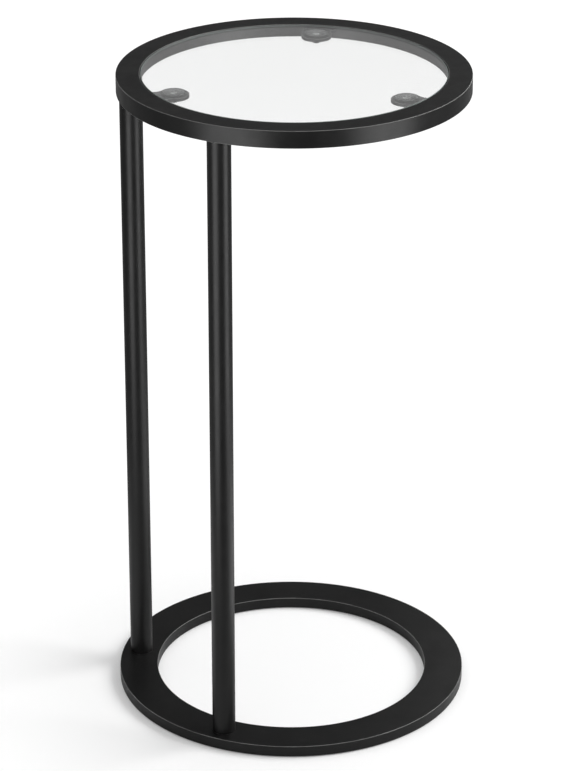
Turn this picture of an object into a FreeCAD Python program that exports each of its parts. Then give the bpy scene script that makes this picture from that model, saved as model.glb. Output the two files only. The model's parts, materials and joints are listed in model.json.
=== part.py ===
import FreeCAD, Part
import math
import os

# Round side table: a flat ring base, two posts at one side, and a tube ring that holds a glass disc.
# Millimetres, Z up. The origin is the middle of the base ring on the floor. The posts stand on the
# -X side. Left is +Y, right is -Y, and the two sides are alike apart from where the ears stand.

# Top ring: a rectangular tube rolled and closed into a ring
top_ring_diameter = 300.0
top_ring_band = 20.0
top_ring_height = 15.0
top_ring_wall = 1.5
top_ring_chamfer = 0.8

# Base ring: a flat plate
base_diameter = 310.0
base_band = 34.0
base_thickness = 10.0
base_chamfer = 0.8

# Posts: round tubes that stand at the middle of both bands
post_spacing = 165.0
post_length = 546.0
post_diameter = 20.0
post_wall = 1.5

# Glass disc, its top level with the top ring's
glass_thickness = 5.0
glass_edge_gap = 0.8
glass_arris = 0.5

# Ears: round plates on flared necks, welded to the top ring's inner wall, each at its share of a
# full turn from +X
ear_turn_shares = {"post_side": 0.495, "right": 0.828, "left": 0.144}
ear_radius = 13.0
ear_reach = 18.8
ear_thickness = 3.0
ear_flare_radius = 10.0
ear_flare_inset = 7.0

# Suction cups: soft cups under the glass, each held by a stem with a bulb below its ear
cup_radius = 10.6
cup_height = 1.4
cup_rim_land = 0.9
cup_hollow_depth = 0.8
cup_foot_radius = 8.0
cup_nub_radius = 2.6
stem_radius = 2.8
stem_hole_gap = 0.2
stem_bulb_radius = 3.8
stem_bulb_height = 4.2
stem_tip_radius = 2.8

# Fastenings in the posts' ends and in the rings
thread_diameter = 8.0
thread_gap = 0.05
thread_hole_gap = 0.4
plug_length = 22.0
nut_width = 13.0
nut_height = 6.5
stud_length = 24.0
stud_past_nut = 1.0
screw_length = 25.0
screw_head_diameter = 16.0
socket_width = 5.0
socket_depth = 3.0

# Floor pads: thin discs stuck under the base
pad_count = 6
pad_diameter = 18.0
pad_thickness = 0.8

# Room between a round face and the round face that it fits
seat_gap = 0.05
# How far a cutting tool runs past the face that it cuts
overrun = 1.0

full_turn = 360.0
hex_sides = 6
up = FreeCAD.Vector(0, 0, 1)
origin = FreeCAD.Vector(0, 0, 0)

top_ring_radius = top_ring_diameter / 2
top_hole_radius = top_ring_radius - top_ring_band
top_band_radius = top_ring_radius - top_ring_band / 2
base_radius = base_diameter / 2
base_hole_radius = base_radius - base_band
base_band_radius = base_radius - base_band / 2
post_radius = post_diameter / 2
post_bore_radius = post_radius - post_wall
thread_radius = thread_diameter / 2
thread_bore_radius = thread_radius + thread_gap

# Each post stands at half the spacing from the middle plane and at the middle of both bands, so the
# top ring's centre is shifted from the base's by what the two reaches differ.
post_side = post_spacing / 2
base_post_reach = math.sqrt(base_band_radius**2 - post_side**2)
top_post_reach = math.sqrt(top_band_radius**2 - post_side**2)
top_centre = FreeCAD.Vector(top_post_reach - base_post_reach, 0, 0)
post_places = {
    "left": FreeCAD.Vector(-base_post_reach, post_side, 0),
    "right": FreeCAD.Vector(-base_post_reach, -post_side, 0),
}

base_bottom = pad_thickness
base_top = base_bottom + base_thickness
ring_bottom = base_top + post_length
glass_bottom = ring_bottom + top_ring_height - glass_thickness
ear_top = glass_bottom - cup_height

# The ears' wall end lies on the top ring's inner wall. An ear is drawn from the ring's centre, along +X.
ear_wall_radius = top_hole_radius - seat_gap
ear_centre = FreeCAD.Vector(ear_wall_radius - ear_reach, 0, 0)


def moved(shape, place, height):
    copy = shape.copy()
    copy.translate(FreeCAD.Vector(place.x, place.y, height))
    return copy


def at_posts(shape, height):
    return Part.makeCompound([moved(shape, place, height) for place in post_places.values()])


def polar(radius, angle):
    turn = math.radians(angle)
    return FreeCAD.Vector(radius * math.cos(turn), radius * math.sin(turn), 0)


def turned(outline):
    # A solid of revolution about Z, from corners given as (radius, height).
    corners = [FreeCAD.Vector(radius, 0, height) for radius, height in outline]
    return Part.Face(Part.makePolygon(corners + corners[:1])).revolve(origin, up, full_turn)


def hexagon(width, height):
    corner_radius = width / 2 / math.cos(math.pi / hex_sides)
    corners = [polar(corner_radius, full_turn * side / hex_sides) for side in range(hex_sides + 1)]
    return Part.Face(Part.makePolygon(corners)).extrude(up * height)


def flat_ring(outer_radius, inner_radius, height):
    outer = Part.makeCylinder(outer_radius, height)
    inner = Part.makeCylinder(inner_radius, height + 2 * overrun, FreeCAD.Vector(0, 0, -overrun))
    return outer.cut(inner)


def upper_edges(shape, height):
    return [edge for edge in shape.Edges if edge.BoundBox.ZMin > height / 2]


def top_ring():
    tube = flat_ring(top_ring_radius, top_hole_radius, top_ring_height)
    tube = tube.makeChamfer(top_ring_chamfer, upper_edges(tube, top_ring_height))
    hollow = flat_ring(
        top_ring_radius - top_ring_wall,
        top_hole_radius + top_ring_wall,
        top_ring_height - 2 * top_ring_wall,
    )
    tube = tube.cut(moved(hollow, origin, top_ring_wall))
    drill = Part.makeCylinder(thread_radius + thread_hole_gap, top_ring_wall + 2 * overrun)
    return moved(tube, top_centre, ring_bottom).cut(at_posts(drill, ring_bottom - overrun))


def base_ring():
    plate = flat_ring(base_radius, base_hole_radius, base_thickness)
    plate = plate.makeChamfer(base_chamfer, upper_edges(plate, base_thickness))
    head_radius = screw_head_diameter / 2 + seat_gap
    hole_radius = thread_radius + thread_hole_gap
    countersink = turned([
        (0, -overrun),
        (head_radius, -overrun),
        (head_radius, 0),
        (hole_radius, head_radius - hole_radius),
        (hole_radius, base_thickness + overrun),
        (0, base_thickness + overrun),
    ])
    return moved(plate, origin, base_bottom).cut(at_posts(countersink, base_bottom))


def threaded_plug():
    # A slug welded into a post's end and threaded right through.
    return flat_ring(post_bore_radius - seat_gap, thread_bore_radius, plug_length)


def weld_nut():
    nut = hexagon(nut_width, nut_height)
    return nut.cut(Part.makeCylinder(thread_bore_radius, nut_height + 2 * overrun, up * -overrun))


def countersunk_screw():
    head_radius = screw_head_diameter / 2
    body = turned([
        (0, 0),
        (head_radius, 0),
        (thread_radius, head_radius - thread_radius),
        (thread_radius, screw_length),
        (0, screw_length),
    ])
    return body.cut(moved(hexagon(socket_width, socket_depth + overrun), origin, -overrun))


def glass_disc():
    radius = top_hole_radius - glass_edge_gap
    return turned([
        (0, 0),
        (radius, 0),
        (radius, glass_thickness - glass_arris),
        (radius - glass_arris, glass_thickness),
        (0, glass_thickness),
    ])


def meeting_points(radius, centre, other_radius):
    # Where a circle round the origin meets a circle round the centre: left of it, then right of it.
    span = centre.Length
    along = (span**2 + radius**2 - other_radius**2) / (2 * span)
    across = math.sqrt(radius**2 - along**2)
    ahead = centre / span
    aside = FreeCAD.Vector(-ahead.y, ahead.x, 0)
    return ahead * along + aside * across, ahead * along - aside * across


def mirrored(point):
    return FreeCAD.Vector(point.x, -point.y, 0)


def arc(start, through, end):
    return Part.Arc(start, through, end).toShape()


def ear():
    # The disc's edge runs into a hollow arc on each side, which flares out to the ring's wall. The
    # hollow arcs touch the disc, and their centres lie a little inside the wall.
    flare_centre, _ = meeting_points(
        ear_wall_radius - ear_flare_inset, ear_centre, ear_radius + ear_flare_radius
    )
    _, wall_end = meeting_points(ear_wall_radius, flare_centre, ear_flare_radius)
    to_disc = (ear_centre - flare_centre).normalize() * ear_flare_radius
    to_middle = (to_disc + wall_end - flare_centre).normalize() * ear_flare_radius
    disc_end = flare_centre + to_disc
    flare_middle = flare_centre + to_middle
    tip = ear_centre - FreeCAD.Vector(ear_radius, 0, 0)
    outline = Part.Wire([
        arc(mirrored(wall_end), FreeCAD.Vector(ear_wall_radius, 0, 0), wall_end),
        arc(wall_end, flare_middle, disc_end),
        arc(disc_end, tip, mirrored(disc_end)),
        arc(mirrored(disc_end), mirrored(flare_middle), mirrored(wall_end)),
    ])
    plate = Part.Face(outline).extrude(up * ear_thickness)
    hole = Part.makeCylinder(stem_radius + stem_hole_gap, ear_thickness + 2 * overrun)
    return plate.cut(moved(hole, ear_centre, -overrun))


def suction_cup():
    # Heights count from the ear's upper face. The cup's rim meets the glass, and its foot the ear.
    cup_floor = cup_height - cup_hollow_depth
    bulb_top = -ear_thickness - seat_gap
    bulb_bottom = bulb_top - stem_bulb_height
    return turned([
        (0, bulb_bottom),
        (stem_tip_radius, bulb_bottom),
        (stem_bulb_radius, bulb_top),
        (stem_radius, bulb_top),
        (stem_radius, 0),
        (cup_foot_radius, 0),
        (cup_radius, cup_height),
        (cup_radius - cup_rim_land, cup_height),
        (cup_nub_radius, cup_floor),
        (0, cup_floor + cup_hollow_depth / 2),
    ])


def glass_supports():
    # The ears and their cups, at their shares of the turn round the top ring.
    ears = {}
    cups = []
    for name, share in ear_turn_shares.items():
        angle = full_turn * share
        plate = ear()
        plate.rotate(origin, up, angle)
        ears["ear_" + name] = moved(plate, top_centre, ear_top - ear_thickness)
        cups.append(moved(suction_cup(), top_centre + polar(ear_centre.x, angle), ear_top))
    return {**ears, "suction_cups": Part.makeCompound(cups)}


def floor_pads():
    pad = Part.makeCylinder(pad_diameter / 2, pad_thickness)
    places = [polar(base_band_radius, full_turn * step / pad_count) for step in range(pad_count)]
    return Part.makeCompound([moved(pad, place, 0) for place in places])


def posts():
    tube = flat_ring(post_radius, post_bore_radius, post_length)
    return {"post_" + side: moved(tube, place, base_top) for side, place in post_places.items()}


def fastenings():
    stud = Part.makeCylinder(thread_radius, stud_length)
    stud_top = ring_bottom + top_ring_wall + nut_height + stud_past_nut
    return {
        "top_plugs": at_posts(threaded_plug(), ring_bottom - plug_length),
        "ring_nuts": at_posts(weld_nut(), ring_bottom + top_ring_wall),
        "studs": at_posts(stud, stud_top - stud_length),
        "foot_plugs": at_posts(threaded_plug(), base_top),
        "base_screws": at_posts(countersunk_screw(), base_bottom),
    }


pieces = {
    "top_ring": top_ring(),
    "glass_top": moved(glass_disc(), top_centre, glass_bottom),
    **glass_supports(),
    **posts(),
    "base_ring": base_ring(),
    "floor_pads": floor_pads(),
    **fastenings(),
}
os.makedirs("parts", exist_ok=True)
for name, piece in pieces.items():
    piece.exportStep(os.path.join("parts", name + ".step"))
    print(name, "solids", len(piece.Solids), "valid", piece.isValid(), "volume", round(piece.Volume))
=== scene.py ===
import bmesh
import bpy
import json
import math
from mathutils import Matrix, Vector

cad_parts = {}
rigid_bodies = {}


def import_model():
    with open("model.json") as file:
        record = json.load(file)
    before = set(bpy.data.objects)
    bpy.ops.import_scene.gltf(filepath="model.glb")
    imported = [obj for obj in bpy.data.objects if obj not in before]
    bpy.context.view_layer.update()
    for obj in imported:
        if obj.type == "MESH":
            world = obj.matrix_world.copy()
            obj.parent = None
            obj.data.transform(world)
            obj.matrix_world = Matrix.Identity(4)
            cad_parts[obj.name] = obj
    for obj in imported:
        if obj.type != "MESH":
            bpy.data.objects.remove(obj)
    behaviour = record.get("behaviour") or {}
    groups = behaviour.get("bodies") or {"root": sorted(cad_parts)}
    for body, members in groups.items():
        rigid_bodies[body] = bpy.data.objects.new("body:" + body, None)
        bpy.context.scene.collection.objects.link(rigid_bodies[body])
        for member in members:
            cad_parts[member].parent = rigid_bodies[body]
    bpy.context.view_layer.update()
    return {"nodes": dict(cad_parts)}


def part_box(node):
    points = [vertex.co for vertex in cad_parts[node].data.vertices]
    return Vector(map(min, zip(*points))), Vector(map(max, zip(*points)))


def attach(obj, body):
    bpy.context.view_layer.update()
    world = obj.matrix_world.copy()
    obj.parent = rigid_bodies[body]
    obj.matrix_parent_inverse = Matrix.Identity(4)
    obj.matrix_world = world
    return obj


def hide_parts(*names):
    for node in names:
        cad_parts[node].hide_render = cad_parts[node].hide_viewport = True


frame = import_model()
print("frame loaded with", len(frame["nodes"]), "nodes")

# Lengths are in metres and turns in degrees. Z is up, and the posts stand on the -X side.


# How the pieces are measured, meshed and finished

meshLook = {
    "sameSpot": 1e-6,  # corners nearer than this are one corner
    "sharpTurn": 25,   # edges that turn by more than this get rounded
}


def ringSizes(node):
    low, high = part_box(node)
    middle = (low + high) / 2
    inner = min((corner.co.xy - middle.xy).length for corner in frame["nodes"][node].data.vertices)
    outer = (high.x - low.x) / 2
    return {"middle": middle, "bottom": low.z, "top": high.z, "inner": inner, "outer": outer}


def wallOutline(size):  # the section of a ring or tube with upright walls
    return [
        (size["inner"], size["bottom"]), (size["outer"], size["bottom"]),
        (size["outer"], size["top"]), (size["inner"], size["top"]),
    ]


def mergedCopy(node):
    mesh = bmesh.new()
    mesh.from_mesh(frame["nodes"][node].data)
    bmesh.ops.remove_doubles(mesh, verts=mesh.verts, dist=meshLook["sameSpot"])
    return mesh


def solidBoxes(node):  # the lowest and highest corner of each separate solid in a node
    mesh = mergedCopy(node)
    left = set(mesh.verts)
    boxes = []
    while left:
        waiting = [left.pop()]
        found = list(waiting)
        while waiting:
            corner = waiting.pop()
            linked = [edge.other_vert(corner) for edge in corner.link_edges]
            fresh = [other for other in linked if other in left]
            left.difference_update(fresh)
            waiting += fresh
            found += fresh
        places = [corner.co for corner in found]
        boxes.append((
            Vector(min(place[axis] for place in places) for axis in range(3)),
            Vector(max(place[axis] for place in places) for axis in range(3)),
        ))
    mesh.free()
    return sorted(boxes, key=lambda box: (round(box[0].y, 4), round(box[0].x, 4)))


def turnedMesh(outline, steps, closed=True):  # outline points are (reach, height)
    mesh = bmesh.new()
    corners = [mesh.verts.new((reach, 0, height)) for reach, height in outline]
    pairs = list(zip(corners, corners[1:]))
    if closed:
        pairs.append((corners[-1], corners[0]))
    edges = [mesh.edges.new(pair) for pair in pairs]
    bmesh.ops.spin(
        mesh, geom=corners + edges, cent=(0, 0, 0), axis=(0, 0, 1),
        angle=math.tau, steps=steps, use_merge=True,
    )
    bmesh.ops.remove_doubles(mesh, verts=mesh.verts, dist=meshLook["sameSpot"])
    bmesh.ops.recalc_face_normals(mesh, faces=mesh.faces)
    return mesh


def roundedEdges(mesh, size, segments, wanted=lambda edge: True, leastTurn=meshLook["sharpTurn"]):
    # Rounds the sharp edges, and marks their new faces: paint there is lighter, a painted highlight with
    # a little wear, and ground glass gets paler arrises, frosted and partly a painted highlight.
    roundMark = mesh.faces.layers.float.get("edgeRub") or mesh.faces.layers.float.new("edgeRub")
    sharp = [
        edge for edge in mesh.edges
        if len(edge.link_faces) == 2
        and edge.calc_face_angle() > math.radians(leastTurn)
        and wanted(edge)
    ]
    rounded = bmesh.ops.bevel(
        mesh, geom=sharp, offset=size, segments=segments,
        profile=0.5, affect="EDGES", material=-1, clamp_overlap=True,
    )
    for face in rounded["faces"]:
        face[roundMark] = 1


def roundedRims(mesh, size, look):  # the upper and the lower edges each have their own rounding
    middle = size["middle"].z
    roundedEdges(
        mesh, look["upperRound"], look["segments"],
        lambda edge: min(corner.co.z for corner in edge.verts) > middle,
    )
    roundedEdges(
        mesh, look["lowerRound"], look["segments"],
        lambda edge: max(corner.co.z for corner in edge.verts) < middle,
    )


def placedMesh(mesh, middle, height=0):
    bmesh.ops.translate(mesh, verts=mesh.verts, vec=(middle.x, middle.y, height))
    return mesh


def ringMesh(size, look):
    mesh = turnedMesh(wallOutline(size), look["steps"])
    roundedRims(mesh, size, look)
    return placedMesh(mesh, size["middle"])


def finishedPiece(name, mesh, material, nodes):
    data = bpy.data.meshes.new(name)
    mesh.to_mesh(data)
    mesh.free()
    data.materials.append(material)
    data.shade_smooth()
    piece = bpy.data.objects.new(name, data)
    bpy.context.scene.collection.objects.link(piece)
    flats = piece.modifiers.new("flat faces stay flat", "WEIGHTED_NORMAL")
    flats.keep_sharp = True
    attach(piece, "root")
    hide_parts(*nodes)
    return piece


def cutMesh(mesh, cutter):  # takes the cutter's shape out of the mesh
    tools = []
    for name, shape in (("blank", mesh), ("cutter", cutter)):
        data = bpy.data.meshes.new(name)
        shape.to_mesh(data)
        shape.free()
        tools.append(bpy.data.objects.new(name, data))
        bpy.context.scene.collection.objects.link(tools[-1])
    cut = tools[0].modifiers.new("cut", "BOOLEAN")
    cut.operation = "DIFFERENCE"
    cut.solver = "EXACT"
    cut.object = tools[1]
    bpy.context.view_layer.update()
    ready = tools[0].evaluated_get(bpy.context.evaluated_depsgraph_get())
    result = bmesh.new()
    result.from_mesh(ready.to_mesh())
    ready.to_mesh_clear()
    for tool in tools:
        bpy.data.objects.remove(tool)
    return result


# Finishes. A noise is given as the size of its patches in metres and how finely they break up.

def newFinish(name):
    material = bpy.data.materials.new(name)
    material.use_nodes = True
    tree = material.node_tree
    place = tree.nodes.new("ShaderNodeTexCoord").outputs["Object"]
    return material, tree, tree.nodes["Principled BSDF"], place


def linkedNode(tree, kind, *links):  # each link is an input of the new node and what feeds it
    node = tree.nodes.new(kind)
    for socket, source in links:
        tree.links.new(source, node.inputs[socket])
    return node


def combined(tree, operation, first, second):
    node = linkedNode(tree, "ShaderNodeMath", (0, first), (1, second))
    node.operation = operation
    return node.outputs[0]


def mixedShaders(tree, share, first, second):
    links = (("Fac", share), (1, first.outputs[0]), (2, second.outputs[0]))
    return linkedNode(tree, "ShaderNodeMixShader", *links)


def noise(tree, place, grain, detail):
    texture = linkedNode(tree, "ShaderNodeTexNoise", ("Vector", place))
    texture.inputs["Scale"].default_value = 1 / grain
    texture.inputs["Detail"].default_value = detail
    return texture.outputs[0]


def ranged(tree, source, low, high, start=0.35, end=0.65):  # the usual start and end suit a noise
    spread = linkedNode(tree, "ShaderNodeMapRange", ("Value", source))
    for name, value in (("From Min", start), ("From Max", end), ("To Min", low), ("To Max", high)):
        spread.inputs[name].default_value = value
    return spread.outputs["Result"]


def mixedColours(tree, share, first, second):
    mix = tree.nodes.new("ShaderNodeMix")
    mix.data_type = "RGBA"
    tree.links.new(share, mix.inputs["Factor"])
    for socket, colour in ((mix.inputs[6], first), (mix.inputs[7], second)):  # its two colour sockets
        if isinstance(colour, bpy.types.NodeSocket):
            tree.links.new(colour, socket)
        else:
            socket.default_value = (*colour, 1)
    return mix.outputs[2]


def bumped(tree, source, depth, strength=1.0, under=None):
    bump = linkedNode(tree, "ShaderNodeBump", ("Height", source))
    bump.inputs["Distance"].default_value = depth
    bump.inputs["Strength"].default_value = strength
    if under:
        tree.links.new(under, bump.inputs["Normal"])
    return bump.outputs["Normal"]


def rubbedEdges(tree):  # 1 on the faces that roundedEdges made, 0 elsewhere
    roundMark = tree.nodes.new("ShaderNodeAttribute")
    roundMark.attribute_name = "edgeRub"
    return roundMark.outputs["Fac"]


powderCoatLook = {
    "deepBlack": (0.0036, 0.0037, 0.0038),
    "worn": (0.0058, 0.0058, 0.0057),
    # edge: a lighter colour for the rounded edges, a painted highlight with a little wear
    "edge": (0.26, 0.26, 0.256),
    "edgeShineShares": (0.45, 0.7),  # how much of the painted edge highlight and wear shows, from patch to patch
    "roughness": (0.33, 0.39),
    "shine": 0.3,
    "cloud": (0.045, 4),
    "edgeCloud": (0.015, 2),
    "peel": (0.0011, 1),        # the coat's orange peel, and a finer one on it
    "finePeel": (0.000275, 2),
    "peelDepth": 0.00003,
    "finePeelDepth": 0.00001,
    "peelStrength": 0.5,
}


def powderCoat():
    look = powderCoatLook
    material, tree, shader, place = newFinish("satin powder coat")
    cloudy = ranged(tree, noise(tree, place, *look["cloud"]), 0, 1)
    colour = mixedColours(tree, cloudy, look["deepBlack"], look["worn"])
    patches = noise(tree, place, *look["edgeCloud"])
    # The rounded edges are painted lighter: a painted highlight, with a little wear.
    edgeShineAndWear = combined(tree, "MULTIPLY", rubbedEdges(tree), ranged(tree, patches, *look["edgeShineShares"]))
    tree.links.new(mixedColours(tree, edgeShineAndWear, colour, look["edge"]), shader.inputs["Base Color"])
    tree.links.new(ranged(tree, patches, *look["roughness"]), shader.inputs["Roughness"])
    shader.inputs["Specular IOR Level"].default_value = look["shine"]
    peel = bumped(tree, noise(tree, place, *look["peel"]), look["peelDepth"], look["peelStrength"])
    finePeel = noise(tree, place, *look["finePeel"])
    coat = bumped(tree, finePeel, look["finePeelDepth"], look["peelStrength"], peel)
    tree.links.new(coat, shader.inputs["Normal"])
    return material


glassLook = {
    "tint": (0.992, 0.998, 0.995),
    "lampTint": (0.9, 0.92, 0.915),  # of the lamps' light that goes through
    "index": 1.5,
    "haze": (0.0, 0.012),
    "hazeCloud": (0.03, 5),
    "edge": ((0.035, 0.043, 0.04), (0.06, 0.07, 0.066)),
    # the arrises are paler: frosted glass, and partly a painted highlight
    "arrisFrostAndShine": (0.2, 0.23, 0.22),
    "edgeRoughness": (0.5, 0.65),
    "edgeGrain": (0.002, 3),
    "edgeShine": 0.1,
}


def clearGlass():
    material, tree, shader, place = newFinish("clear glass")
    shader.inputs["Base Color"].default_value = (*glassLook["tint"], 1)
    shader.inputs["IOR"].default_value = glassLook["index"]
    shader.inputs["Transmission Weight"].default_value = 1
    cloudy = noise(tree, place, *glassLook["hazeCloud"])
    tree.links.new(ranged(tree, cloudy, *glassLook["haze"]), shader.inputs["Roughness"])
    # Lamps shine through the glass without a dark shadow.
    clear = tree.nodes.new("ShaderNodeBsdfTransparent")
    clear.inputs["Color"].default_value = (*glassLook["lampTint"], 1)
    toLamp = tree.nodes.new("ShaderNodeLightPath").outputs["Is Shadow Ray"]
    mix = mixedShaders(tree, toLamp, shader, clear)
    tree.links.new(mix.outputs[0], tree.nodes["Material Output"].inputs["Surface"])
    return material


def groundEdge():  # the glass's edge, ground matt, with paler arrises: frosted, and partly a painted highlight
    material, tree, shader, place = newFinish("ground glass edge")
    grain = noise(tree, place, *glassLook["edgeGrain"])
    side = mixedColours(tree, ranged(tree, grain, 0, 1), *glassLook["edge"])
    colour = mixedColours(tree, rubbedEdges(tree), side, glassLook["arrisFrostAndShine"])
    tree.links.new(colour, shader.inputs["Base Color"])
    tree.links.new(ranged(tree, grain, *glassLook["edgeRoughness"]), shader.inputs["Roughness"])
    shader.inputs["Specular IOR Level"].default_value = glassLook["edgeShine"]
    return material


vinylLook = {
    "body": ((0.036, 0.0375, 0.0375), (0.052, 0.0535, 0.053)),
    "pressedWithHighlight": ((0.2, 0.205, 0.2), (0.26, 0.265, 0.26)),  # where it lies on the glass: lighter, a painted highlight on the rim and the nub
    "roughness": (0.16, 0.22),
    "shine": 0.35,
    "transmission": 0.12,
    "cloud": (0.009, 1),
    "grain": (0.0012, 2),
    "grainDepth": 0.00001,
}


def softVinyl(name, shades):
    material, tree, shader, place = newFinish(name)
    cloudy = noise(tree, place, *vinylLook["cloud"])
    tree.links.new(mixedColours(tree, ranged(tree, cloudy, 0, 1), *shades), shader.inputs["Base Color"])
    tree.links.new(ranged(tree, cloudy, *vinylLook["roughness"]), shader.inputs["Roughness"])
    shader.inputs["Specular IOR Level"].default_value = vinylLook["shine"]
    shader.inputs["Transmission Weight"].default_value = vinylLook["transmission"]
    grain = noise(tree, place, *vinylLook["grain"])
    tree.links.new(bumped(tree, grain, vinylLook["grainDepth"]), shader.inputs["Normal"])
    return material


foamLook = {
    "dark": (0.012, 0.012, 0.013),
    "pale": (0.03, 0.03, 0.031),
    "cell": 0.0007,
    "cellDepth": 0.0002,
    "roughness": 0.9,
}


def foamRubber():
    look = foamLook
    material, tree, shader, place = newFinish("foam rubber")
    cells = linkedNode(tree, "ShaderNodeTexVoronoi", ("Vector", place))
    cells.inputs["Scale"].default_value = 1 / look["cell"]
    walls = cells.outputs["Distance"]
    tree.links.new(mixedColours(tree, walls, look["dark"], look["pale"]), shader.inputs["Base Color"])
    shader.inputs["Roughness"].default_value = look["roughness"]
    tree.links.new(bumped(tree, walls, look["cellDepth"]), shader.inputs["Normal"])
    return material


zincLook = {
    "colours": ((0.5, 0.51, 0.53), (0.68, 0.68, 0.66)),
    "roughness": (0.25, 0.42),
    "metallic": 1.0,
}
blackSteelLook = {
    "colours": ((0.018, 0.018, 0.02), (0.045, 0.045, 0.047)),
    "roughness": (0.3, 0.45),
    "metallic": 0.5,
}
steelGrainLook = {
    "cloud": (0.006, 4),
    "scuff": (0.0015, 3),
    "dent": (0.0008, 2),
    "dentDepth": 0.00003,
}


def steel(name, look):
    material, tree, shader, place = newFinish(name)
    cloudy = ranged(tree, noise(tree, place, *steelGrainLook["cloud"]), 0, 1)
    tree.links.new(mixedColours(tree, cloudy, *look["colours"]), shader.inputs["Base Color"])
    scuffed = noise(tree, place, *steelGrainLook["scuff"])
    tree.links.new(ranged(tree, scuffed, *look["roughness"]), shader.inputs["Roughness"])
    shader.inputs["Metallic"].default_value = look["metallic"]
    dents = noise(tree, place, *steelGrainLook["dent"])
    tree.links.new(bumped(tree, dents, steelGrainLook["dentDepth"]), shader.inputs["Normal"])
    return material


finishes = {
    "powder": powderCoat(),
    "glass": clearGlass(),
    "glassEdge": groundEdge(),
    "vinyl": softVinyl("soft vinyl", vinylLook["body"]),
    # the paler vinyl paints a highlight on the cups' rims and nubs
    "highlitPressedVinyl": softVinyl("pressed vinyl", vinylLook["pressedWithHighlight"]),
    "foam": foamRubber(),
    "zinc": steel("zinc plate", zincLook),
    "blackSteel": steel("black oxide steel", blackSteelLook),
}
print("finishes made:", len(finishes))


# Top ring

topRingLook = {"steps": 288, "upperRound": 0.0004, "lowerRound": 0.0005, "segments": 4}


def topRing():
    mesh = ringMesh(ringSizes("top_ring"), topRingLook)
    finishedPiece("topRingTube", mesh, finishes["powder"], ["top_ring"])


topRing()
print("top ring made")


# Glass disc, with a ground edge of its own finish

glassDiscLook = {
    "steps": 256, "upperRound": 0.0004, "lowerRound": 0.0003, "segments": 3,
    "level": 0.999,  # faces whose normal is at least this upright are clear
}


def glassDisc():
    size = ringSizes("glass_top")
    mesh = bmesh.new()
    bmesh.ops.create_circle(mesh, cap_ends=True, segments=glassDiscLook["steps"], radius=size["outer"])
    raised = bmesh.ops.extrude_face_region(mesh, geom=mesh.faces[:])
    lifted = [item for item in raised["geom"] if isinstance(item, bmesh.types.BMVert)]
    bmesh.ops.translate(mesh, verts=lifted, vec=(0, 0, size["top"] - size["bottom"]))
    placedMesh(mesh, size["middle"], size["bottom"])
    bmesh.ops.recalc_face_normals(mesh, faces=mesh.faces)
    roundedRims(mesh, size, glassDiscLook)
    for face in mesh.faces:
        face.material_index = 0 if abs(face.normal.z) > glassDiscLook["level"] else 1
    piece = finishedPiece("glassDisc", mesh, finishes["glass"], ["glass_top"])
    piece.data.materials.append(finishes["glassEdge"])


glassDisc()
print("glass disc made")


# Ears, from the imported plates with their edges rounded

earLook = {
    "flatTurn": 1,  # neighbouring faces that turn by less than this become one
    "round": 0.0005, "segments": 3,
}
earNames = {"ear_post_side": "earPostSidePlate", "ear_right": "earRightPlate", "ear_left": "earLeftPlate"}


def ear(node, name):
    mesh = mergedCopy(node)
    flat = math.radians(earLook["flatTurn"])
    bmesh.ops.dissolve_limit(mesh, angle_limit=flat, verts=mesh.verts, edges=mesh.edges)
    roundedEdges(mesh, earLook["round"], earLook["segments"])
    finishedPiece(name, mesh, finishes["powder"], [node])


for node, name in earNames.items():
    ear(node, name)
print("ears made:", len(earNames))


# Suction cups: a soft flared cup with a raised middle, on a stem that ends in a bulb under the ear

cupLook = {
    "steps": 64, "round": 0.00025, "segments": 3,
    "rimLandShare": 0.085, "footShare": 0.755,                 # shares of the cup's reach
    "stemShare": 0.264, "bulbShare": 0.358, "tipShare": 0.264,
    "nubShare": 0.3, "nubTopShare": 0.12,
    "hollowShare": 0.571,                                      # share of its height above the ear
    "nubHeightShare": 0.7,                                     # share of the hollow's depth
    "earNode": "ear_right", "room": 0.00005,
}


def suctionCup(number, low, high):
    look = cupLook
    reach = (high.x - low.x) / 2
    plateLow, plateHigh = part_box(look["earNode"])
    plateBottom, plateTop = plateLow.z, plateHigh.z
    hollow = high.z - (high.z - plateTop) * look["hollowShare"]
    nubTop = hollow + (high.z - hollow) * look["nubHeightShare"]
    outline = [
        (0, low.z),
        (reach * look["tipShare"], low.z),
        (reach * look["bulbShare"], plateBottom - look["room"]),
        (reach * look["stemShare"], plateBottom - look["room"]),
        (reach * look["stemShare"], plateTop),
        (reach * look["footShare"], plateTop),
        (reach, high.z),
        (reach * (1 - look["rimLandShare"]), high.z),
        (reach * look["nubShare"], hollow),
        (reach * look["nubTopShare"], nubTop),
        (0, nubTop),
    ]
    mesh = turnedMesh(outline, look["steps"], closed=False)
    roundedEdges(mesh, look["round"], look["segments"])
    # The rim's land and the raised middle press on the glass, and take the paler vinyl there: a painted
    # highlight.
    for face in mesh.faces:
        middle = face.calc_center_median()
        atRim = middle.z > high.z - look["room"]
        atNub = middle.z > hollow + look["room"] and middle.xy.length < reach * look["nubShare"]
        face.material_index = 1 if atRim or atNub else 0
    placedMesh(mesh, (low + high) / 2)
    piece = finishedPiece("suctionCup" + str(number), mesh, finishes["vinyl"], ["suction_cups"])
    # the second finish is the paler vinyl, a painted highlight on the rim and the nub
    piece.data.materials.append(finishes["highlitPressedVinyl"])


for number, (low, high) in enumerate(solidBoxes("suction_cups"), 1):
    suctionCup(number, low, high)
print("suction cups made")


# Posts: round tubes

postLook = {"steps": 128, "round": 0.0003, "segments": 2, "leastTurn": 60}
postNames = {"post_left": "postLeftTube", "post_right": "postRightTube"}


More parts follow.
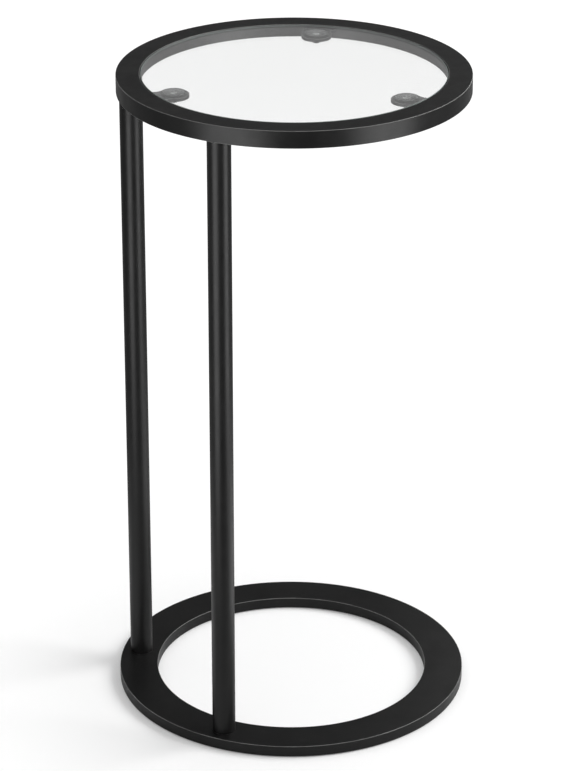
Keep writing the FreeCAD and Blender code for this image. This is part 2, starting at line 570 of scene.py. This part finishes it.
def post(node, name):
    size = ringSizes(node)
    mesh = turnedMesh(wallOutline(size), postLook["steps"])
    roundedEdges(mesh, postLook["round"], postLook["segments"], leastTurn=postLook["leastTurn"])
    placedMesh(mesh, size["middle"])
    finishedPiece(name, mesh, finishes["powder"], [node])


for node, name in postNames.items():
    post(node, name)
print("posts made")


# Base ring, countersunk from below under each post

baseLook = {"steps": 288, "upperRound": 0.0004, "lowerRound": 0.0004, "segments": 4}
screwSeatLook = {"room": 0.00005, "holeRadius": 0.0044, "overrun": 0.001, "steps": 64}


def screwSeat(low, high, baseTop):
    look = screwSeatLook
    headRadius = (high.x - low.x) / 2 + look["room"]
    outline = [
        (0, low.z - look["overrun"]),
        (headRadius, low.z - look["overrun"]),
        (headRadius, low.z),
        (look["holeRadius"], low.z + headRadius - look["holeRadius"]),
        (look["holeRadius"], baseTop + look["overrun"]),
        (0, baseTop + look["overrun"]),
    ]
    return placedMesh(turnedMesh(outline, look["steps"], closed=False), (low + high) / 2)


def baseRing():
    size = ringSizes("base_ring")
    mesh = ringMesh(size, baseLook)
    for low, high in solidBoxes("base_screws"):
        mesh = cutMesh(mesh, screwSeat(low, high, size["top"]))
    finishedPiece("baseRingPlate", mesh, finishes["powder"], ["base_ring"])


baseRing()
print("base ring made")


# Countersunk screws with a six-sided socket, in the base

screwLook = {
    "steps": 64, "threadRadius": 0.004, "round": 0.0002, "segments": 2,
    "socketWidth": 0.005, "socketDepth": 0.003, "socketSides": 6,
}


def baseScrew(number, low, high):
    look = screwLook
    headRadius = (high.x - low.x) / 2
    outline = [
        (0, low.z),
        (headRadius, low.z),
        (look["threadRadius"], low.z + headRadius - look["threadRadius"]),
        (look["threadRadius"], high.z),
        (0, high.z),
    ]
    mesh = turnedMesh(outline, look["steps"], closed=False)
    roundedEdges(mesh, look["round"], look["segments"])
    socket = bmesh.new()
    cornerRadius = look["socketWidth"] / 2 / math.cos(math.pi / look["socketSides"])
    bmesh.ops.create_cone(
        socket, cap_ends=True, segments=look["socketSides"], radius1=cornerRadius, radius2=cornerRadius,
        depth=2 * look["socketDepth"], matrix=Matrix.Translation((0, 0, low.z)),
    )
    mesh = placedMesh(cutMesh(mesh, socket), (low + high) / 2)
    finishedPiece("baseScrew" + str(number), mesh, finishes["blackSteel"], ["base_screws"])


for number, (low, high) in enumerate(solidBoxes("base_screws"), 1):
    baseScrew(number, low, high)
print("base screws made")


# Floor pads under the base

padLook = {"steps": 64, "round": 0.0003, "segments": 3, "leastTurn": 60}


def floorPad(number, low, high):
    mesh = bmesh.new()
    radius = (high.x - low.x) / 2
    bmesh.ops.create_cone(
        mesh, cap_ends=True, segments=padLook["steps"], radius1=radius, radius2=radius,
        depth=high.z - low.z, matrix=Matrix.Translation((low + high) / 2),
    )
    roundedEdges(mesh, padLook["round"], padLook["segments"], leastTurn=padLook["leastTurn"])
    finishedPiece("floorPad" + str(number), mesh, finishes["foam"], ["floor_pads"])


for number, (low, high) in enumerate(solidBoxes("floor_pads"), 1):
    floorPad(number, low, high)
print("floor pads made")


# The fastenings inside the tubes stay as packed, in zinc plate

for node in ("top_plugs", "ring_nuts", "studs", "foot_plugs"):
    plated = frame["nodes"][node]
    plated.data.materials.clear()
    plated.data.materials.append(finishes["zinc"])
print("inner fastenings plated")


# Camera, floor, sky and lamps

viewLook = {
    "azimuth": -28.2, "distance": 2.6, "aside": 0.0011, "height": 1.4394,
    "tilt": 23.961, "swing": 0.137, "nearest": 0.05, "farthest": 200,
    "lens": 151.89,  # in millimetres
}


def turnedToCamera(x, y, z):  # a place as seen from the camera: x to the right, y away
    return Matrix.Rotation(math.radians(viewLook["azimuth"]), 3, "Z") @ Vector((x, y, z))


def makeCamera():
    look = viewLook
    data = bpy.data.cameras.new("camera")
    data.lens = look["lens"]
    data.clip_start = look["nearest"]
    data.clip_end = look["farthest"]
    camera = bpy.data.objects.new("camera", data)
    camera.location = turnedToCamera(look["aside"], -look["distance"], look["height"])
    turn = math.radians(look["azimuth"] + look["swing"])
    camera.rotation_euler = (math.pi / 2 - math.radians(look["tilt"]), 0, turn)
    bpy.context.scene.collection.objects.link(camera)
    bpy.context.scene.camera = camera


floorLook = {"reach": 60.0, "steps": 96}
floorFinishLook = {  # each pair is the value to the eye, then the one in mirrors
    "colour": (0.8, 0.63),
    "glow": (0.18, 0),
    "white": (1.12, 0.25),
    "fadeStart": (0.17, 0.28),
    "fadeEnd": (0.43, 0.62),
}


def floorFinish():
    # Near the table the floor takes its shadow. Further out it fades to an even white,
    # and in mirrors to grey.
    material = bpy.data.materials.new("pale floor")
    material.use_nodes = True
    tree = material.node_tree
    tree.nodes.clear()
    place = tree.nodes.new("ShaderNodeTexCoord").outputs["Object"]
    length = linkedNode(tree, "ShaderNodeVectorMath", (0, place))
    length.operation = "LENGTH"
    far = ranged(tree, length.outputs["Value"], 0, 1)
    lit = tree.nodes.new("ShaderNodeBsdfDiffuse")
    glow = tree.nodes.new("ShaderNodeEmission")
    white = tree.nodes.new("ShaderNodeEmission")
    near = linkedNode(tree, "ShaderNodeAddShader", (0, lit.outputs[0]), (1, glow.outputs[0]))
    seen = mixedShaders(tree, far, near, white)
    path = tree.nodes.new("ShaderNodeLightPath").outputs
    onlyMirrors = combined(tree, "SUBTRACT", path["Is Glossy Ray"], path["Is Transmission Ray"])
    sockets = {
        "colour": lit.inputs["Color"], "glow": glow.inputs["Strength"], "white": white.inputs["Strength"],
        "fadeStart": far.node.inputs["From Min"], "fadeEnd": far.node.inputs["From Max"],
    }
    for name, socket in sockets.items():
        tree.links.new(ranged(tree, onlyMirrors, *floorFinishLook[name], 0, 1), socket)
    mirrored = combined(tree, "MAXIMUM", path["Is Camera Ray"], path["Is Glossy Ray"])
    looking = combined(tree, "MAXIMUM", mirrored, path["Is Transmission Ray"])
    top = mixedShaders(tree, looking, lit, seen)
    # From below, the floor is open to the camera and to the lamp under it, so that the underside shows.
    below = tree.nodes.new("ShaderNodeNewGeometry").outputs["Backfacing"]
    opened = combined(tree, "MAXIMUM", below, path["Is Shadow Ray"])
    both = mixedShaders(tree, opened, top, tree.nodes.new("ShaderNodeBsdfTransparent"))
    linkedNode(tree, "ShaderNodeOutputMaterial", ("Surface", both.outputs[0]))
    return material


def makeFloor():
    mesh = bmesh.new()
    bmesh.ops.create_circle(mesh, cap_ends=True, segments=floorLook["steps"], radius=floorLook["reach"])
    data = bpy.data.meshes.new("floor")
    mesh.to_mesh(data)
    mesh.free()
    data.materials.append(floorFinish())
    floor = bpy.data.objects.new("floor", data)
    bpy.context.scene.collection.objects.link(floor)


skyLook = [  # how steeply a ray rises, as the Z of its direction, and how bright the sky is there
    (0.0, 0.7), (0.06, 0.7),
    (0.16, 0.06), (0.28, 0.06),
    (0.3, 0.43), (0.34, 0.43),
    (0.36, 0.07), (1.0, 0.2),
]
clearSkyLook = {"start": 0.38, "end": 0.42}  # above this the sky is white through the glass


def makeSky():
    # White to the camera, and overhead through the glass. All else sees it dark,
    # with two bright bands low down.
    world = bpy.data.worlds.new("studio")
    bpy.context.scene.world = world
    world.use_nodes = True
    tree = world.node_tree
    direction = tree.nodes.new("ShaderNodeTexCoord").outputs["Generated"]
    rise = linkedNode(tree, "ShaderNodeSeparateXYZ", (0, direction)).outputs["Z"]
    ramp = linkedNode(tree, "ShaderNodeValToRGB", (0, rise))
    stops = ramp.color_ramp.elements
    while len(stops) < len(skyLook):
        stops.new(0.5)  # its place is set below
    for stop, (position, level) in zip(stops, skyLook):
        stop.position = position
        stop.color = (level, level, level, 1)
    path = tree.nodes.new("ShaderNodeLightPath").outputs
    overhead = ranged(tree, rise, 0, 1, clearSkyLook["start"], clearSkyLook["end"])
    through = combined(tree, "MULTIPLY", path["Is Transmission Ray"], overhead)
    looking = combined(tree, "MAXIMUM", path["Is Camera Ray"], through)
    seen = mixedColours(tree, looking, ramp.outputs[0], (1, 1, 1))
    tree.links.new(seen, tree.nodes["Background"].inputs["Color"])


lampLook = {  # place, aim, size, watts, and what it lights: matt, gloss, both or a group of lampReach
    "key": ((2.0, 0.1, 1.9), (0, 0, 0.2), (1.6, 1.6), 54, "both"),
    "dome": ((0, 0, 2.4), (0, 0, 0), (5, 5), 61, "matt"),
    "under": ((0, 0, -1.2), (0, 0, 0.5), (2, 2), 22, "matt"),
    "frontTop": ((0.3, -1.7, 2.3), (0, 0, 0.3), (2.4, 1), 36, "gloss"),
    "leftStrip": ((-0.38, -0.53, 0.33), (0, 0, 0.33), (0.42, 0.64), 2.9, "upright"),
    "rightStrip": ((0.52, -0.38, 0.33), (0, 0, 0.33), (0.42, 0.64), 3, "upright"),
    "rightCard": ((0.33, -0.05, 0.002), (0.33, -0.05, 1), (0.4, 0.35), 0.6, "posts"),
    "leftCard": ((-0.42, -0.05, 0.002), (-0.42, -0.05, 1), (0.4, 0.35), 0.18, "posts"),
    "lowRight": ((0.5, 0.8, 0.5), (0.08, 0, 0), (0.4, 0.3), 1.3, "notGlass"),
    "highRight": ((0.5, 0.8, 0.86), (0.08, 0, 0.57), (0.4, 0.2), 0.5, "notGlass"),
}
lampReach = {  # such a lamp lights only the gloss of the pieces whose names begin with these words
    "posts": ("post",),
    "upright": ("post", "topRing", "ear", "suctionCup"),
    "notGlass": ("post", "topRing", "ear", "suctionCup", "baseRing"),
}


def makeLamps():
    receivers = {}
    for group, firstWords in lampReach.items():
        receivers[group] = bpy.data.collections.new(group)
        for piece in bpy.data.objects:
            if piece.name.startswith(firstWords):
                receivers[group].objects.link(piece)
    for name, (place, aim, size, watts, lights) in lampLook.items():
        data = bpy.data.lights.new(name, "AREA")
        data.shape = "RECTANGLE"
        data.size, data.size_y = size
        data.energy = watts
        lamp = bpy.data.objects.new(name, data)
        lamp.location = turnedToCamera(*place)
        facing = turnedToCamera(*aim) - lamp.location
        lamp.rotation_euler = facing.to_track_quat("-Z", "Y").to_euler()
        lamp.visible_camera = False
        lamp.visible_diffuse = lights in ("both", "matt")
        lamp.visible_transmission = lights == "both"
        lamp.visible_glossy = lights != "matt"
        bpy.context.scene.collection.objects.link(lamp)
        lamp.light_linking.receiver_collection = receivers.get(lights)


makeCamera()
makeFloor()
makeSky()
makeLamps()
bpy.context.scene.view_settings.view_transform = "Standard"
print("studio made")
